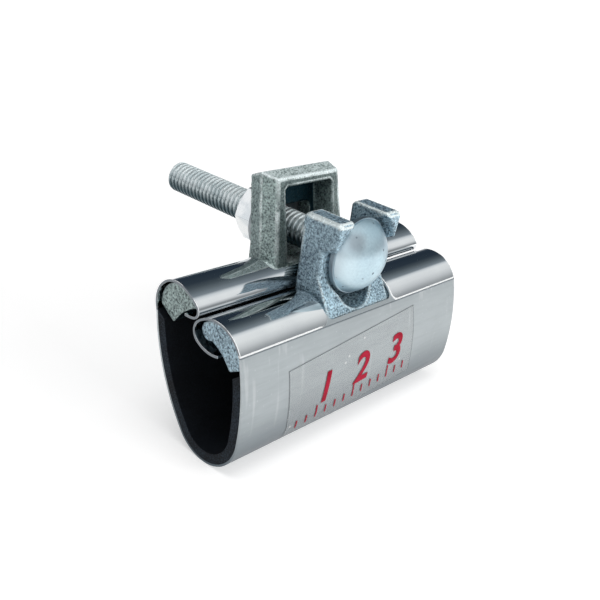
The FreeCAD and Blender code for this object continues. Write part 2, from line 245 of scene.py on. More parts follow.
def matteSheetFinish():
    # rolled grain, fine hairs and specks, with painted shade towards the bottom and a painted shadow line
    # just under the crease
    place, fill = newFinish("matteSheet")
    s = matteSheet
    cloud = place.noise(s["cloudScale"], 3)
    grain = place.noise(s["grainScale"], 2, 0.6, s["grainStretch"])
    hairs = place.noise(s["hairScale"], 1, 0.5, s["hairStretch"]).rise(*s["hairRange"])
    specks = (1 - place.cells(s["speckScale"])).rise(*s["speckRange"])
    tone = (cloud * 0.5 + grain * 0.5).rise(*s["toneRange"])
    colour = tone.colours(s["darkTone"], s["pale"])
    colour = (hairs * s["hairShare"] + specks * s["speckShare"]).colours(colour, s["scratched"])
    _, _, z = place.parts()
    # painted shade towards the bottom, and a painted shadow line just under the crease
    colour = z.rise(*s["shadeRange"]).colours(s["under"], colour)
    colour = ((z - creaseTop).rise(*s["creaseShadowRange"]) * s["creaseShadowShare"]).colours(colour, s["under"])
    return fill(Base_Color=colour, Metallic=1.0,
                Roughness=s["rough"] + (grain - 0.5) * 0.25 + (cloud - 0.5) * 0.1,
                Normal=(grain * 0.6 + hairs * 0.4).bump(s["depth"], 0.6))


def mirrorSheetFinish():
    # polished, with painted shade on its cut ends, and painted highlights on the window's cut edges, along
    # the rims of its ends, and as a line round the fork's window and along the crease
    place, fill = newFinish("mirrorSheet")
    s = mirrorSheet
    cloud = place.noise(s["cloudScale"], 3)
    wave = place.noise(s["waveScale"], 1, 0.4, s["waveStretch"])
    specks = (1 - place.cells(s["speckScale"])).rise(*s["speckRange"])
    smears = place.noise(s["smearScale"], 2, 0.6, s["smearStretch"]).rise(*s["smearRange"])
    colour = cloud.rise(*s["cloudRange"]).colours(s["darkTone"], s["pale"])
    along, _, _ = normalOf(place)
    cut = along.size().rise(*s["cutRange"])
    x, y, z = place.parts()
    reach = x.size()
    inside = 1 - (reach - wrapEnd).rise(*s["endRange"])
    # painted shade on the sheet's cut ends
    colour = (cut * (1 - inside) * s["endShadeShare"]).colours(colour, s["endFaceShade"])
    # a painted highlight in patches along the rims of the sheet's ends
    glint = (reach - wrapEnd).rise(*s["glintRange"]) * (1 - cut)
    glint = glint * place.noise(s["glintScale"], 2).rise(*s["glintArea"])
    # how far the point lies inside the loop's outline, which has a rounded corner by the window
    window = windows["forkHalf"] * mm
    front = 1 - y.rise(*s["frontRange"])
    aside = (window + s["corner"] - reach).most(0.0)
    above = (creaseTop + s["corner"] - z).most(0.0) * front
    inset = s["corner"] - fromAxis(aside, above)
    # a painted highlight line round the window's corner and along the crease
    middle, half, soft = s["line"]
    line = within(inset - middle, half, soft) * (1 - y.rise(*s["lineBack"]))
    # on the left the painted highlight line begins a little outside the window
    unseen = (1 - x.rise(*s["lineLeft"])) * (1 - (reach - window).rise(*s["lineBegin"]))
    line = line * (1 - unseen)
    strip = (1 - inset.rise(-s["stripSoft"], 0.0)) * front
    colour = strip.colours(colour, s["strip"])
    # painted highlight: the line, the glints at the ends and the window's cut edges
    edge = line.most(glint).most(cut * inside)
    colour = edge.colours(colour, s["edge"])
    return fill(Base_Color=colour, Metallic=1 - edge * (1 - s["edgeMetal"]),
                Roughness=s["rough"] + smears * 0.06 + specks * 0.25 + edge * 0.35 + strip * 0.33,
                Normal=(wave + specks * 0.02).bump(s["depth"], 0.5))


def layerPiece(name, outer, inner, columns, material):
    # a sheet between two matching lines of (y, z), run along X in columns
    xs = [-halfLength + 2 * halfLength * n / columns for n in range(columns + 1)]
    ring = outer + inner[::-1]
    count = len(ring)
    verts = [(x, y, z) for x in xs for y, z in ring]
    faces = []
    for c in range(columns):
        for n in range(count):
            a, b = c * count + n, c * count + (n + 1) % count
            faces.append((a, b, b + count, a + count))
    last = columns * count
    for n in range(len(outer) - 1):
        cap = (n, n + 1, count - 2 - n, count - 1 - n)
        faces.append(cap)
        faces.append(tuple(last + i for i in cap[::-1]))
    return meshPiece(name, verts, faces, material, smooth=wrap["smooth"])


def cutAway(piece, low, high, corner):
    # cuts a window with rounded corners, seen from above, out of a piece
    points = []
    arc = windows["arc"]
    corners = ((high[0], high[1], 0), (low[0], high[1], 90), (low[0], low[1], 180), (high[0], low[1], 270))
    for cx, cy, start in corners:
        sx = corner if cx == high[0] else -corner
        sy = corner if cy == high[1] else -corner
        centre = (cx - sx, cy - sy)
        points += [polar(centre, corner, start + arc * n) for n in range(90 // arc + 1)]
    count = len(points)
    verts = [(x, y, z) for z in (low[2], high[2]) for x, y in points]
    faces = [tuple(range(count)), tuple(range(2 * count - 1, count - 1, -1))]
    faces += [(n, (n + 1) % count, (n + 1) % count + count, n + count) for n in range(count)]
    cutter = meshPiece("cutter", verts, faces, piece.data.materials[0])
    cut = piece.modifiers.new("window", "BOOLEAN")
    cut.object = cutter
    cut.operation = "DIFFERENCE"
    cut.solver = "EXACT"
    applyAll(piece)
    bpy.data.objects.remove(cutter)
    piece.data.shade_smooth()
    piece.data.set_sharp_from_angle(angle=math.radians(wrap["smooth"]))


def angleOf(centre, point):
    return math.degrees(math.atan2(point[1] - centre[1], point[0] - centre[0]))


def fromFront(p):
    # from a point seen from the front crease to the cross-section
    return (p[0] - wrap["frontOut"], p[1] + wrap["creaseHeight"])


def fromRear(p):
    # the same for the rear crease, mirrored
    return (wrap["rearOut"] - p[0], p[1] + wrap["creaseHeight"])


def bendChain(centre, radius, angle, bends):
    # each arc goes on from the end of the one before, in the same direction
    arcs = []
    for nextRadius, end in bends:
        centre = polar(centre, radius - nextRadius, angle)
        arcs.append((centre, nextRadius, angle, end))
        radius, angle = nextRadius, end
    return arcs


def loopArcs(s):
    # a loop's arcs, as (centre, radius, start, end), from its crease on
    centre = polar((0, 0), -s["crown"], s["start"])
    return bendChain(centre, s["crown"], s["start"], s["bends"])


def wallCentre(crease, radius, toward):
    # the centre of a wall's arc, which starts at the crease and touches the round bottom
    reach = math.hypot(*crease)
    inner = radius - wrap["bottom"]
    along = (radius ** 2 - inner ** 2 + reach ** 2) / (2 * reach)
    across = math.sqrt(radius ** 2 - along ** 2)
    unit = (-crease[0] / reach, -crease[1] / reach)
    return (crease[0] + unit[0] * along - unit[1] * toward * across,
            crease[1] + unit[1] * along + unit[0] * toward * across)


def wallArcs():
    # rear wall, round bottom and front wall
    front, rear = fromFront((0, 0)), fromRear((0, 0))
    frontCentre = wallCentre(front, wrap["frontWall"], 1)
    rearCentre = wallCentre(rear, wrap["rearWall"], -1)
    frontTouch = angleOf(frontCentre, (0, 0)) % 360 - 360
    rearTouch = angleOf(rearCentre, (0, 0))
    return [(rearCentre, wrap["rearWall"], angleOf(rearCentre, rear), rearTouch),
            ((0, 0), wrap["bottom"], rearTouch, frontTouch),
            (frontCentre, wrap["frontWall"], frontTouch, angleOf(frontCentre, front) % 360 - 360)]


def followArcs(arcs, depth, side, step):
    # points along a chain of tangent arcs, at a depth under it; long arcs get closer points
    points = []
    for centre, radius, start, end in arcs:
        count = max(3, math.ceil(abs(end - start) / step * max(1, radius / wrap["longArc"])))
        first = 1 if points else 0
        for n in range(first, count + 1):
            points.append(side(polar(centre, radius - depth, start + (end - start) * n / count)))
    return points


def sheetPiece(name, arcs, side, material):
    # the sheet's outer and inner lines, run along the whole wrap
    lines = [followArcs(arcs, depth, side, wrap["step"]) for depth in (0, wrap["sheet"])]
    return layerPiece(name, *lines, wrap["columns"], material)


matte = matteSheetFinish()
mirror = mirrorSheetFinish()
uPiece = sheetPiece("wrapSheet", wallArcs(), lambda p: p, matte)
frontPiece = sheetPiece("frontLoop", loopArcs(frontLoop), fromFront, mirror)
rearPiece = sheetPiece("rearLoop", loopArcs(rearLoop), fromRear, mirror)
cutAway(frontPiece, (-windows["forkHalf"], windows["forkFront"], windows["forkFloor"]),
        (windows["forkHalf"], windows["forkBack"], windows["top"]), windows["corner"])
cutAway(rearPiece, (-windows["towerHalf"], windows["towerFront"], windows["towerFloor"]),
        (windows["towerHalf"], windows["towerBack"], windows["top"]), windows["corner"])
for piece in (uPiece, frontPiece, rearPiece):
    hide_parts("band")
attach(frontPiece, "wrap")
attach(rearPiece, "tower")
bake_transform(uPiece)
print("wrap made")


# the gasket inside the U; the drops say how far its two skins stop below the front and the rear crease

gasket = dict(gap=0.05, thick=2.2, outerDrops=(3.95, -0.2), innerDrops=(5.2, 1.3), points=90, columns=20,
              step=1.0)
rubber = dict(face=(0.003, 0.004, 0.006), dusty=(0.030, 0.043, 0.058), rough=0.78, depth=0.06 * mm,
              grainScale=2600, cloudScale=160, dustRange=(0.42, 0.62), endRange=(-0.1 * mm, -0.02 * mm),
              faceDust=0.12)


def rubberFinish():
    # black, with grey dust in the grain of the cut ends
    place, fill = newFinish("rubber")
    s = rubber
    grains = place.noise(s["grainScale"], 3, 0.6)
    cloud = place.noise(s["cloudScale"], 2)
    x, _, _ = place.parts()
    cutEnd = (x.size() - wrapEnd).rise(*s["endRange"])
    dust = (grains * 0.6 + cloud * 0.4).rise(*s["dustRange"]) * (s["faceDust"] + cutEnd * (1 - s["faceDust"]))
    return fill(Base_Color=dust.colours(s["face"], s["dusty"]), Specular_IOR_Level=0.2,
                Roughness=s["rough"] + (cloud - 0.5) * 0.15, Normal=grains.bump(s["depth"], 0.7))


def gasketLine(depth, drops):
    # the U at a depth, cut off below both creases
    line = followArcs(wallArcs(), depth, lambda p: p, gasket["step"])
    return [p for p in line if p[1] < wrap["creaseHeight"] - drops[1 if p[0] > 0 else 0]]


def evenPoints(line, count):
    # the same line with evenly spaced points
    steps = [0]
    for a, b in zip(line, line[1:]):
        steps.append(steps[-1] + math.dist(a, b))
    points = []
    for n in range(count):
        want = steps[-1] * n / (count - 1)
        k = max(i for i, s in enumerate(steps[:-1]) if s <= want + 1e-9)
        t = (want - steps[k]) / (steps[k + 1] - steps[k])
        points.append(tuple(p + (q - p) * t for p, q in zip(line[k], line[k + 1])))
    return points


gasketTop = wrap["sheet"] + gasket["gap"]
gasketLines = [gasketLine(gasketTop, gasket["outerDrops"]),
               gasketLine(gasketTop + gasket["thick"], gasket["innerDrops"])]
gasketLines = [evenPoints(line, gasket["points"]) for line in gasketLines]
gasketPiece = layerPiece("gasketRubber", *gasketLines, gasket["columns"], rubberFinish())
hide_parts("gasket")
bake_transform(gasketPiece)
print("gasket made")


# the bolt: domed head, squared neck and rolled thread, in millimetres

boltSize = dict(height=32.0, radius=3.97, root=3.32, pitch=25.4 / 18, end=59.3, chamfer=0.9, seat=-2.85,
                headRadius=9.0, dome=5.3, rim=1.5, standOff=0.5, shoulder=7.5, domeShare=0.965, step=0.22,
                neckHalf=5.6, neckHeight=9.6, neckDepth=2.4, neckSides=72, headSides=96, domeRings=24,
                edge=0.1, underEdge=0.15, core=0.2, neckCut=0.2, overlap=0.05,
                threadSides=48, threadRows=9, rootFlat=0.08, flank=0.52)
boltAxis = boltSize["height"] * mm
boltZinc = dict(low=(0.62, 0.71, 0.73), high=(0.86, 0.93, 0.94), boltShade=(0.05, 0.085, 0.10), rough=0.26,
                depth=0.02 * mm, cloudScale=220, grainScale=2200, toneRange=(0.35, 0.62),
                root=3.35 * mm, crest=3.65 * mm, fray=0.25 * mm, litRange=(-0.1, 0.8), undersideShadeRange=(-0.5, 0.75),
                rootTone=0.55, metal=0.92, litMetal=0.5)
headZinc = dict(low=(0.43, 0.58, 0.66), high=(0.60, 0.76, 0.83), bright=(0.72, 0.86, 0.92),
                dark=(0.28, 0.42, 0.50), stain=(0.36, 0.40, 0.45), smudge=(0.24, 0.27, 0.31),
                speck=(0.06, 0.09, 0.12), rim=(0.16, 0.21, 0.25), rough=0.38, depth=0.04 * mm,
                cloudScale=120, grainScale=1800, stainScale=95, speckScale=460, speckArea=110,
                toneRange=(0.3, 0.7), stainRange=(0.5, 0.68), speckRange=(0.83, 0.90), areaRange=(0.45, 0.53),
                # the place and size of the painted dark reflection on the upper left
                reflectionPlace=(-5.0 * mm, -7.0 * mm, 37.2 * mm), reflectionRange=(0.8 * mm, 3.4 * mm),
                reflectionFray=3 * mm, litSideRange=(-9 * mm, -2 * mm), shadedSideRange=(1 * mm, 9 * mm),
                rimShadeRange=(-0.35 * mm, -0.1 * mm),
                shares=dict(bright=0.7, dark=0.6, stain=0.35, smudge=0.55, speck=0.8, rim=0.8))


def boltFinish():
    # painted shade in the roots of the thread and underneath, bright on the crests
    place, fill = newFinish("boltZinc")
    s = boltZinc
    cloud = place.noise(s["cloudScale"], 3)
    grain = place.noise(s["grainScale"], 2)
    x, _, z = place.parts()
    z = z - boltAxis
    crest = (fromAxis(x, z) + (grain - 0.5) * s["fray"]).rise(s["root"], s["crest"])
    tone = (cloud * 0.7 + grain * 0.3).rise(*s["toneRange"]).colours(s["low"], s["high"])
    # painted shade on the underside
    upward = z / s["crest"]
    tone = upward.rise(*s["undersideShadeRange"]).colours(s["boltShade"], tone)
    # painted shade in the roots of the thread
    colour = (crest * (1 - s["rootTone"]) + s["rootTone"]).colours(s["boltShade"], tone)
    return fill(Base_Color=colour, Metallic=s["metal"] - upward.rise(*s["litRange"]) * s["litMetal"],
                Roughness=s["rough"] + (cloud - 0.5) * 0.2, Normal=grain.bump(s["depth"], 0.5))


def headFinish():
    # pale blue zinc with painted light on its left side, painted shade on its upper right and along its rim,
    # a painted dark reflection on its upper left, faint stains and pin-head specks
    place, fill = newFinish("headZinc")
    s = headZinc
    cloud = place.noise(s["cloudScale"], 3)
    grain = place.noise(s["grainScale"], 2)
    x, _, z = place.parts()
    z = z - boltAxis
    reach = place.make("ShaderNodeVectorMath", {"operation": "DISTANCE"}, {0: place, 1: s["reflectionPlace"]},
                       out=1)
    specks = (1 - place.cells(s["speckScale"])).rise(*s["speckRange"])
    # painted light on the left side, painted shade on the upper right and along the rim, and a painted dark
    # reflection on the upper left; the stains and specks are the head's own
    masks = dict(bright=1 - x.rise(*s["litSideRange"]),
                 dark=(x + z).rise(*s["shadedSideRange"]),
                 stain=place.noise(s["stainScale"], 1).rise(*s["stainRange"]),
                 smudge=1 - (reach + (cloud - 0.5) * s["reflectionFray"]).rise(*s["reflectionRange"]),
                 speck=specks * place.noise(s["speckArea"], 1).rise(*s["areaRange"]),
                 # painted shade along the rim
                 rim=(fromAxis(x, z) - boltSize["headRadius"] * mm).rise(*s["rimShadeRange"]))
    colour = (cloud * 0.6 + grain * 0.4).rise(*s["toneRange"]).colours(s["low"], s["high"])
    for key, mask in masks.items():
        colour = (mask * s["shares"][key]).colours(colour, s[key])
    return fill(Base_Color=colour, Metallic=0.8, Roughness=s["rough"] + (cloud - 0.5) * 0.15,
                Normal=(grain * 0.4 + cloud).bump(s["depth"], 0.5))


def ringFaces(rows, sides):
    # the quads between rows of points, and both end caps
    faces = []
    for k in range(rows - 1):
        for n in range(sides):
            m = (n + 1) % sides
            faces.append((k * sides + n, k * sides + m, (k + 1) * sides + m, (k + 1) * sides + n))
    faces.append(tuple(range(sides)))
    faces.append(tuple(rows * sides - 1 - n for n in range(sides)))
    return faces


def ringPoint(radius, y, angle):
    return (radius * math.sin(angle), y, boltSize["height"] + radius * math.cos(angle))


def headPiece():
    # a line of (radius, y) turned about the bolt's axis
    s = boltSize
    under = s["seat"] - s["standOff"]
    start = under - s["rim"]
    sphere = (s["headRadius"] ** 2 + s["dome"] ** 2) / (2 * s["dome"])
    centre = start - s["dome"] + sphere
    top = math.asin(s["headRadius"] / sphere)
    line = []
    for n in range(s["domeRings"] + 1):
        a = top * (0.01 + 0.99 * n / s["domeRings"])
        line.append((sphere * math.sin(a) * s["domeShare"], centre - sphere * math.cos(a)))
    r = s["headRadius"]
    shelf = start + s["step"]
    edge, underEdge = s["edge"], s["underEdge"]
    line += [(r * s["domeShare"], shelf), (r - edge, shelf), (r, shelf + edge), (r, under - underEdge),
             (r - underEdge, under), (s["shoulder"], under), (s["shoulder"], s["seat"]),
             (s["core"], s["seat"])]
    sides = s["headSides"]
    verts = [ringPoint(r, y, 2 * math.pi * n / sides) for r, y in line for n in range(sides)]
    return meshPiece("boltHead", verts, ringFaces(len(line), sides), headFinish(), smooth=18)


def neckPiece(material):
    # flats at the sides, above and below, with the corners cut back to a circle
    s = boltSize
    sides = s["neckSides"]
    halfHeight = s["neckHeight"] / 2
    limit = math.hypot(s["neckHalf"], halfHeight) - s["neckCut"]
    verts = []
    for y in (s["seat"], s["seat"] + s["neckDepth"]):
        for n in range(sides):
            a = 2 * math.pi * n / sides
            across, upright = max(1e-6, abs(math.sin(a))), max(1e-6, abs(math.cos(a)))
            verts.append(ringPoint(min(limit, s["neckHalf"] / across, halfHeight / upright), y, a))
    return meshPiece("boltNeck", verts, ringFaces(2, sides), material, smooth=30)


def threadHeight(phase):
    # 0 at the root and 1 at the crest of one turn, with a narrow rounded crest
    # the root's flat and the flank are shares of half a pitch
    t = phase % 1.0
    ramp = min(t, 1 - t) * 2
    t = min(1.0, max(0.0, (ramp - boltSize["rootFlat"]) / boltSize["flank"]))
    return t * t * (3 - 2 * t)


def threadPiece(material):
    s = boltSize
    sides = s["threadSides"]
    start = s["seat"] + s["neckDepth"] - s["overlap"]
    count = math.ceil((s["end"] - start) / (s["pitch"] / s["threadRows"]))
    verts = []
    for k in range(count + 1):
        y = start + (s["end"] - start) * k / count
        for n in range(sides):
            height = threadHeight(y / s["pitch"] - n / sides)
            r = s["root"] + (s["radius"] - s["root"]) * height
            r = min(r, s["radius"] - s["chamfer"] + (s["end"] - y))
            verts.append(ringPoint(r, y, 2 * math.pi * n / sides))
    return meshPiece("boltThread", verts, ringFaces(count + 1, sides), material, smooth=50)


shankZinc = boltFinish()
for piece in (headPiece(), neckPiece(shankZinc), threadPiece(shankZinc)):
    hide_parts("bolt")
    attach(piece, "wrap")
print("bolt made")


# the two castings keep their solids and get soft corners and a sandy zinc

casting = dict(voxel=0.26 * mm, soften=0.5, passes=2)
forkZinc = dict(low=(0.05, 0.09, 0.13), high=(0.58, 0.80, 0.92), hollow=(0.010, 0.024, 0.036), rough=0.34,
                ceiling=0.2, behind=0.3, front=0.0, side=0.22, top=-0.12, litSpeckle=0.0)
towerZinc = dict(low=(0.05, 0.075, 0.075), high=(0.54, 0.68, 0.66), hollow=(0.006, 0.034, 0.050), rough=0.36,
                 ceiling=1.0, behind=0.62, front=0.66, side=0.12, top=0.3, litSpeckle=0.8,
                 outerSide=(9.0 * mm, 10.0 * mm), outerTop=(43.0 * mm, 44.0 * mm))
towerRecess = dict(foot=(13.5 * mm, 24.0 * mm), lean=11.5, half=8.0 * mm, depth=(-3.2 * mm, 1.1 * mm),
                   back=(1.7 * mm, 2.1 * mm), slotHalf=6.5 * mm, slotMiddle=31.8 * mm, slotReach=6.0 * mm,
                   soft=0.3 * mm)
sandZinc = dict(highlight=(0.90, 1.0, 1.0), contrast=4.0, depth=0.30 * mm, shadeReach=14 * mm,
                sandScale=2300, lumpScale=1300, cloudScale=170, endScale=1500, patchScale=240, highlightScale=900,
                shadeRange=(0.12, 0.62), endRange=(-1.5 * mm, -1.0 * mm), sharpRange=(0.501, 0.508),
                highlightHeight=(27 * mm, 38 * mm), highlightRange=(0.26, 0.40), highlightUp=(-0.1, 0.5), highlightLow=0.3,
                ceilingRange=(-0.7, -0.3), behindRange=(-0.05, 0.12), wallRange=(0.3, 0.7), wallLight=0.65,
                recessTop=(0.4, 0.7), recessDark=0.93, wallShare=0.90, endGrain=3, endMiddle=0.46,
                frontRange=(-0.8, -0.4), sideRange=(-0.9, -0.4), topRange=(0.6, 0.9),
                litSpeckleRange=(0.35, 1.1), innerHighlight=0.4)


def towerHollow(place):
    # 1 deep in the tower's recess and in the slot behind it, where painted shade goes
    x, y, z = place.parts()
    s = towerRecess
    lean = math.radians(s["lean"])
    depth = (y - s["foot"][0]) * math.cos(lean) - (z - s["foot"][1]) * math.sin(lean)
    soft = s["soft"]
    slot = within(x, s["slotHalf"], soft) * within(z - s["slotMiddle"], s["slotReach"], soft)
    return depth.rise(*s["depth"]) * within(x, s["half"], soft) * (1 - depth.rise(*s["back"]) * (1 - slot))


def castFinish(name, own):
    # sandy zinc: mottled grains, with painted highlights on its upper edges and on the grains of its top
    # faces, painted light and shade by the way each face turns, and painted shade in its hollows
    place, fill = newFinish(name)
    s = sandZinc
    isTower = own is towerZinc
    sand = place.noise(s["sandScale"], 1, 0.5)
    lumps = place.noise(s["lumpScale"], 2, 0.6)
    cloud = place.noise(s["cloudScale"], 2)
    across, back, up = normalOf(place)
    x, _, height = place.parts()

    # painted shade in corners, on faces turned back and on faces turned down, and in the tower's recess,
    # whose side walls keep some painted light
    shade = place.make("ShaderNodeAmbientOcclusion", {"samples": 6, "only_local": True},
                       {"Distance": s["shadeReach"]}, out=1).rise(*s["shadeRange"])
    shade = shade * (1 - (1 - up.rise(*s["ceilingRange"])) * own["ceiling"])
    shade = shade * (1 - back.rise(*s["behindRange"]) * own["behind"])
    if isTower:
        wall = across.size().rise(*s["wallRange"])
        shade = shade.most(wall * s["wallLight"])
        recess = towerHollow(place) * (1 - up.rise(*s["recessTop"]))
        shade = shade * (1 - recess * (s["recessDark"] - wall * s["wallShare"]))

    # mottled, with stronger grains on the ends of the shoe
    tone = ((sand * 0.5 + lumps * 0.3 + cloud * 0.2) - 0.5) * s["contrast"] + 0.5
    cutEnd = (x.size() - wrapEnd).rise(*s["endRange"])
    tone = tone + cutEnd * (place.noise(s["endScale"], 2, 0.7) - s["endMiddle"]) * s["endGrain"]
    # painted shade on faces turned to the front and to the left; top faces get painted light on the tower and
    # painted shade on the fork
    darkTone = (1 - back.rise(*s["frontRange"])) * own["front"] + (1 - across.rise(*s["sideRange"])) * own["side"]
    level = up.rise(*s["topRange"])
    tone = (tone + level * own["top"]) * (1 - darkTone)

    # painted highlight in patches along the sharp upward edges
    edgeHighlight = place.make("ShaderNodeNewGeometry", out=7).rise(*s["sharpRange"])
    edgeHighlight = edgeHighlight * (up + place.noise(s["patchScale"], 1) * 0.8 - 0.4).rise(*s["highlightUp"])
    edgeHighlight = edgeHighlight * place.noise(s["highlightScale"], 2).rise(*s["highlightRange"]) * shade
    edgeHighlight = edgeHighlight * (height.rise(*s["highlightHeight"]) * (1 - s["highlightLow"]) + s["highlightLow"])
    if isTower:
        outer = x.size().rise(*own["outerSide"]).most(height.rise(*own["outerTop"]))
        edgeHighlight = edgeHighlight * (s["innerHighlight"] + outer * (1 - s["innerHighlight"]))

    colour = shade.colours(own["hollow"], tone.colours(own["low"], own["high"]))
    # painted light: bright grains on the top faces
    litSpeckle = level * tone.rise(*s["litSpeckleRange"]) * own["litSpeckle"]
    colour = edgeHighlight.most(litSpeckle).colours(colour, s["highlight"])
    return fill(Base_Color=colour, Metallic=1 - shade * 0.7,
                Roughness=own["rough"] + (sand - 0.5) * 0.3 - edgeHighlight * 0.12,
                Normal=(sand * 0.6 + lumps * 0.7).bump(s["depth"], 1.0))


def dress(node, material):
    # a CAD node keeps its mesh and gets the finish
    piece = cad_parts[node]
    piece.data.materials.clear()
    piece.data.materials.append(material)
    return piece


for node, name, own in (("fork_lug", "forkZinc", forkZinc), ("tower_lug", "towerZinc", towerZinc)):
    piece = dress(node, castFinish(name, own))
    skin = piece.modifiers.new("castSkin", "REMESH")
    skin.mode = "VOXEL"
    skin.voxel_size = casting["voxel"]
    skin.use_smooth_shade = True
    soft = piece.modifiers.new("softCorners", "SMOOTH")
    soft.factor = casting["soften"]
    soft.iterations = casting["passes"]
print("castings dressed")


# the washer and the nut

nutZinc = dict(low=(0.74, 0.78, 0.80), high=(0.92, 0.94, 0.94), corner=(0.14, 0.17, 0.19), rough=0.22,
               cloudScale=260, depth=0.02 * mm, cornerWidth=0.16 * mm, cornerTurn=(0.02, 0.2))
washerShadeZinc = dict(low=(0.14, 0.17, 0.19), high=(0.34, 0.37, 0.39), rough=0.42, cloudScale=300,
                  depth=0.03 * mm)


def sharpTurns(place, width):
    # above 0 where the surface turns sharply within the width
    rounded = place.make("ShaderNodeBevel", {"samples": 4}, {"Radius": width})
    plain = place.make("ShaderNodeNewGeometry", out=1)
    turn = place.make("ShaderNodeVectorMath", {"operation": "DOT_PRODUCT"}, {0: rounded, 1: plain}, out=1)
    return 1 - turn


def nutFinish():
    # bright flats with a thin dark line along each corner
    place, fill = newFinish("nutZinc")
    s = nutZinc
    cloud = place.noise(s["cloudScale"], 3)
    flats = cloud.rise(0.35, 0.6).colours(s["low"], s["high"])
    corners = sharpTurns(place, s["cornerWidth"]).rise(*s["cornerTurn"])
    colour = corners.colours(flats, s["corner"])
    return fill(Base_Color=colour, Metallic=0.9, Roughness=s["rough"] + (cloud - 0.5) * 0.1,
                Normal=cloud.bump(s["depth"], 0.4))


def washerFinish():
    # dark grey zinc: painted shade for the washer seen through the tower's slot
    place, fill = newFinish("washerShadeZinc")
    s = washerShadeZinc
    cloud = place.noise(s["cloudScale"], 3)
    colour = cloud.rise(0.35, 0.65).colours(s["low"], s["high"])
    return fill(Base_Color=colour, Metallic=0.8, Roughness=s["rough"] + (cloud - 0.5) * 0.2,
                Normal=cloud.bump(s["depth"], 0.4))


dress("washer", washerFinish())
dress("nut", nutFinish())
print("washer and nut dressed")


# the clear label with a plain numbered scale, in millimetres

label = dict(width=44.6, height=18.6, drop=4.7, shift=-2.4, tilt=5.0, film=0.08, ink=0.13,
             columns=60, rows=30, digits="123", digitHeight=7.4, digitGap=12.7, firstDigit=-13.4,
             digitFoot=12.6, slant=12.0, fatten=0.032, capShare=0.7, curveSteps=6, cuts=3, ticks=13,
             tickGap=3.175, tickFoot=16.4, tickHeight=2.2, tickWidth=0.45, longTick=1.6, tickRungs=5)
labelFilm = dict(clear=(0.66, 0.69, 0.70), trimmed=(0.10, 0.12, 0.13), bubble=(0.9, 0.92, 0.92), rough=0.24,
                 alpha=0.20, endRim=(0.988, 0.995), sideRim=(0.972, 0.988), bubbleScale=190,
                 bubbleRange=(0.915, 0.95), waveScale=90, depth=0.05 * mm)
redInk = dict(low=(0.35, 0.006, 0.026), high=(0.45, 0.013, 0.042), rough=0.5, cloudScale=300)


def filmFinish():
    # clear film: faint milky sheet, darker trimmed rim and a few small air bubbles
    place, fill = newFinish("labelFilm")
    s = labelFilm
    u, v, _ = place.make("ShaderNodeUVMap").parts()
    rim = ((u - 0.5).size() * 2).rise(*s["endRim"]).most(((v - 0.5).size() * 2).rise(*s["sideRim"]))
    bubbles = (1 - place.cells(s["bubbleScale"])).rise(*s["bubbleRange"])
    colour = bubbles.colours(rim.colours(s["clear"], s["trimmed"]), s["bubble"])
    return fill(Base_Color=colour, Roughness=s["rough"] + bubbles * 0.2,
                Alpha=s["alpha"] + rim * 0.45 + bubbles * 0.4, Specular_IOR_Level=0.5,
                Normal=(bubbles * 0.6 + place.noise(s["waveScale"], 2)).bump(s["depth"], 0.4))


def inkFinish():
    place, fill = newFinish("redInk")
    s = redInk
    cloud = place.noise(s["cloudScale"], 2)
    colour = cloud.rise(0.35, 0.65).colours(s["low"], s["high"])
    return fill(Base_Color=colour, Roughness=s["rough"] + cloud * 0.1, Specular_IOR_Level=0.12)


def onWall(s, t, proud):
    # a point of the label, s along it and t down from its top edge, laid on the front wall
    a = math.radians(label["tilt"])
    x = label["shift"] + s * math.cos(a) + t * math.sin(a)
    z = wrap["creaseHeight"] - label["drop"] + s * math.sin(a) - t * math.cos(a)
    centre, wallRadius, touchAngle, _ = wallArcs()[2]
    if z < polar(centre, wallRadius, touchAngle)[1]:
        # below the wall's arc the point lies on the round bottom
        radius = wrap["bottom"] + proud
        z = max(z, -radius * 0.999)
        return (x, -math.sqrt(radius ** 2 - z ** 2), z)
    return (x, centre[0] - math.sqrt((wallRadius + proud) ** 2 - (z - centre[1]) ** 2), z)


def filmPiece():
    columns, rows = label["columns"], label["rows"]
    verts, uvs = [], []
    for r in range(rows + 1):
        for c in range(columns + 1):
            u, v = c / columns, r / rows
            verts.append(onWall((u - 0.5) * label["width"], v * label["height"], label["film"]))
            uvs.append((u, v))
    faces = []
    for r in range(rows):
        for c in range(columns):
            a = r * (columns + 1) + c
            faces.append((a, a + 1, a + columns + 2, a + columns + 1))
    piece = meshPiece("labelFilm", verts, faces, filmFinish(), smooth=60)
    layer = piece.data.uv_layers.new(name="film")
    for loop in piece.data.loops:
        layer.data[loop.index].uv = uvs[loop.vertex_index]
    return piece


def digitFaces(character, height):
    # one digit of the built-in font as flat (s, t) points and faces
    curve = bpy.data.curves.new("digit", "FONT")
    curve.body = character
    curve.size = height / label["capShare"]
    curve.shear = math.tan(math.radians(label["slant"]))
    curve.resolution_u = label["curveSteps"]
    curve.offset = label["fatten"] * height
    holder = bpy.data.objects.new("digit", curve)
    bpy.context.collection.objects.link(holder)
    bpy.context.view_layer.update()
    made = bpy.data.meshes.new_from_object(holder.evaluated_get(bpy.context.evaluated_depsgraph_get()))
    cells = bmesh.new()
    cells.from_mesh(made)
    bmesh.ops.triangulate(cells, faces=cells.faces)
    bmesh.ops.subdivide_edges(cells, edges=cells.edges, cuts=label["cuts"], use_grid_fill=True)
    bmesh.ops.triangulate(cells, faces=cells.faces)
    points = [(v.co.x, v.co.y) for v in cells.verts]
    cells.verts.index_update()
    faces = [tuple(v.index for v in f.verts) for f in cells.faces]
    cells.free()
    bpy.data.objects.remove(holder)
    return points, faces


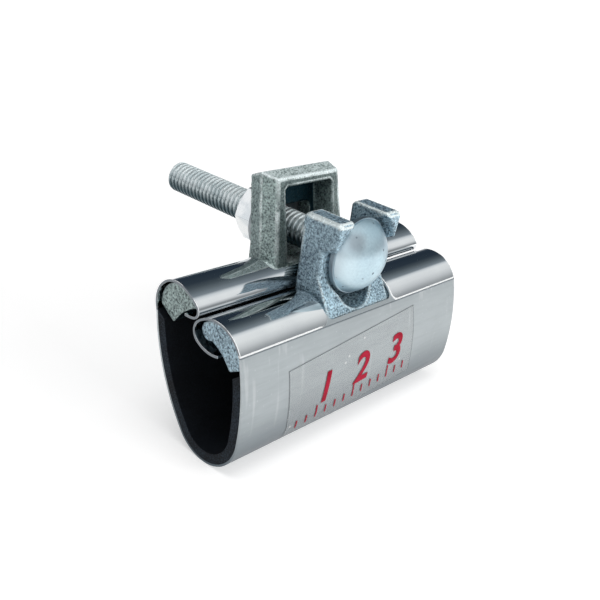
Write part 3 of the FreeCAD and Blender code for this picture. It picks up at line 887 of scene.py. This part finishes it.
def marksPiece():
    verts, faces = [], []

    def add(points, shapes):
        start = len(verts)
        verts.extend(onWall(s, t, label["ink"]) for s, t in points)
        faces.extend(tuple(start + i for i in shape) for shape in shapes)

    for n, character in enumerate(label["digits"]):
        points, shapes = digitFaces(character, label["digitHeight"])
        left = label["firstDigit"] + n * label["digitGap"]
        add([(left + x, label["digitFoot"] - y) for x, y in points], shapes)
    w = label["tickWidth"] / 2
    rungs = label["tickRungs"]
    for n in range(label["ticks"]):
        s = (n - (label["ticks"] - 1) / 2) * label["tickGap"]
        tall = label["tickHeight"] * (label["longTick"] if n % 4 == 2 else 1.0)
        points = [(s + side * w, label["tickFoot"] - tall * k / rungs)
                  for k in range(rungs + 1) for side in (-1, 1)]
        add(points, [(2 * k, 2 * k + 1, 2 * k + 3, 2 * k + 2) for k in range(rungs)])
    return meshPiece("labelScale", verts, faces, inkFinish())


for piece in (filmPiece(), marksPiece()):
    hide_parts("label")
    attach(piece, "wrap")
print("label made")


# floor, room and lamps

studio = dict(floor=(0.80, 0.80, 0.80), halfSide=4000, under=0.02, lift=0.46, farLift=0.9,
              liftRange=(0.10, 0.45), ambient=0.29,
              key=dict(place=(0.42, -0.30, 0.40), size=(0.34, 0.20), light=2.6),
              front=dict(place=(0.12, -0.60, 0.28), size=(0.45, 0.30), light=4.9),
              top=dict(place=(-0.10, -0.05, 0.60), size=(0.40, 0.40), light=2.8))

# what polished metal mirrors, by the angle round the wrap's axis: -90 behind, 0 above, 90 in front
mirrored = dict(strength=1.08, leftBox=0.95, boxColour=(0.95, 0.96, 0.98), boxSide=(0.15, 0.45),
                boxHeight=(0.05, 0.35), ground=(0.72, 0.72, 0.72), groundRange=(-0.04, 0.02),
                stops=[(-100, (0.60, 0.61, 0.62)), (-86, (0.35, 0.37, 0.39)), (-76, (0.034, 0.050, 0.070)),
                       (-62, (0.020, 0.032, 0.048)), (-30, (0.028, 0.042, 0.058)), (-16, (0.07, 0.09, 0.105)),
                       (-4, (0.14, 0.17, 0.19)), (7, (0.24, 0.28, 0.31)), (13, (0.72, 0.76, 0.78)),
                       (20, (0.90, 0.92, 0.92)), (36, (0.84, 0.86, 0.86)), (52, (0.66, 0.68, 0.69)),
                       (66, (0.42, 0.44, 0.45)), (78, (0.26, 0.28, 0.29)), (92, (0.30, 0.31, 0.32))])


def rayKind(start, kind):
    # 1 for light rays of this kind
    return start.make("ShaderNodeLightPath", out="Is %s Ray" % kind)


def floorPiece():
    # pale, and lifted towards white where it is seen, so that it keeps a soft shadow
    size = studio["halfSide"]
    z = -wrap["bottom"] - studio["under"]
    floor = meshPiece("floor", [(-size, -size, z), (size, -size, z), (size, size, z), (-size, size, z)],
                      [(0, 1, 2, 3)], bpy.data.materials.new("paleFloor"))
    material = floor.data.materials[0]
    material.use_nodes = True
    tree = material.node_tree
    tree.nodes.clear()
    start = Sock(tree)
    seen = rayKind(start, "Camera") + rayKind(start, "Glossy") + rayKind(start, "Transmission")
    plain = start.make("ShaderNodeBsdfDiffuse", {}, {"Color": (*studio["floor"], 1)})
    x, y, _ = start.make("ShaderNodeTexCoord", out=3).parts()
    far = fromAxis(x, y).rise(*studio["liftRange"])
    lift = far * (studio["farLift"] - studio["lift"]) + studio["lift"]
    glow = start.make("ShaderNodeEmission", {}, {"Color": (1, 1, 1, 1), "Strength": seen * lift})
    both = start.make("ShaderNodeAddShader", {}, {0: plain, 1: glow})
    both.surface("ShaderNodeOutputMaterial")


def room():
    # white behind the object, an even light on it, and a studio of soft bands for metal to mirror
    world = bpy.data.worlds.new("studio")
    bpy.context.scene.world = world
    world.use_nodes = True
    tree = world.node_tree
    tree.nodes.clear()
    start = Sock(tree)
    x, y, z = start.make("ShaderNodeTexCoord").parts()
    camera = rayKind(start, "Camera")
    glossy = rayKind(start, "Glossy")
    angle = start.maths("ARCTAN2", 0 - y, z) / (2 * math.pi) + 0.5
    stops = [(a / 360 + 0.5, colour) for a, colour in mirrored["stops"]]
    bands = start.make("ShaderNodeValToRGB", {"stops": stops}, {0: angle})
    leftBox = (0 - x).rise(*mirrored["boxSide"]) * z.rise(*mirrored["boxHeight"]) * mirrored["leftBox"]
    bands = leftBox.colours(bands, mirrored["boxColour"])
    bands = (1 - z.rise(*mirrored["groundRange"])).colours(bands, mirrored["ground"])
    shown = glossy.colours((studio["ambient"],) * 3, bands)
    shown = camera.colours(shown, (1, 1, 1))
    strength = 1 + glossy * (1 - camera) * (mirrored["strength"] - 1)
    ground = start.make("ShaderNodeBackground", {}, {"Color": shown, "Strength": strength})
    ground.surface("ShaderNodeOutputWorld")


def lamp(name, s):
    # a soft rectangle that faces the object and isn't seen itself
    light = bpy.data.lights.new(name, "AREA")
    light.shape = "RECTANGLE"
    light.size, light.size_y = s["size"]
    light.energy = s["light"] * math.pi * s["size"][0] * s["size"][1]
    holder = bpy.data.objects.new(name, light)
    holder.location = s["place"]
    holder.rotation_euler = (-Vector(s["place"])).to_track_quat("-Z", "Y").to_euler()
    holder.visible_camera = False
    holder.visible_glossy = False
    bpy.context.collection.objects.link(holder)


floorPiece()
room()
for key in ("key", "front", "top"):
    lamp(key + "Lamp", studio[key])
print("studio lit")


# camera at the photograph's angle

view = dict(place=(-0.1411, -0.1076, 0.0989), right=(0.6810, -0.7217, 0.1241), up=(0.2257, 0.3681, 0.9018),
            back=(-0.6966, -0.5862, 0.4136), lens=49.8, shift=(0.0014, -0.0037), sensor=36, clip=(0.005, 20))
cameraData = bpy.data.cameras.new("camera")
cameraData.lens = view["lens"]
cameraData.sensor_width = view["sensor"]
cameraData.shift_x, cameraData.shift_y = view["shift"]
cameraData.clip_start, cameraData.clip_end = view["clip"]
camera = bpy.data.objects.new("camera", cameraData)
bpy.context.collection.objects.link(camera)
turn = Matrix((view["right"], view["up"], view["back"])).transposed()
camera.matrix_world = Matrix.Translation(view["place"]) @ turn.to_4x4()
bpy.context.scene.camera = camera
bpy.context.scene.view_settings.view_transform = "Standard"

print("scene ready")
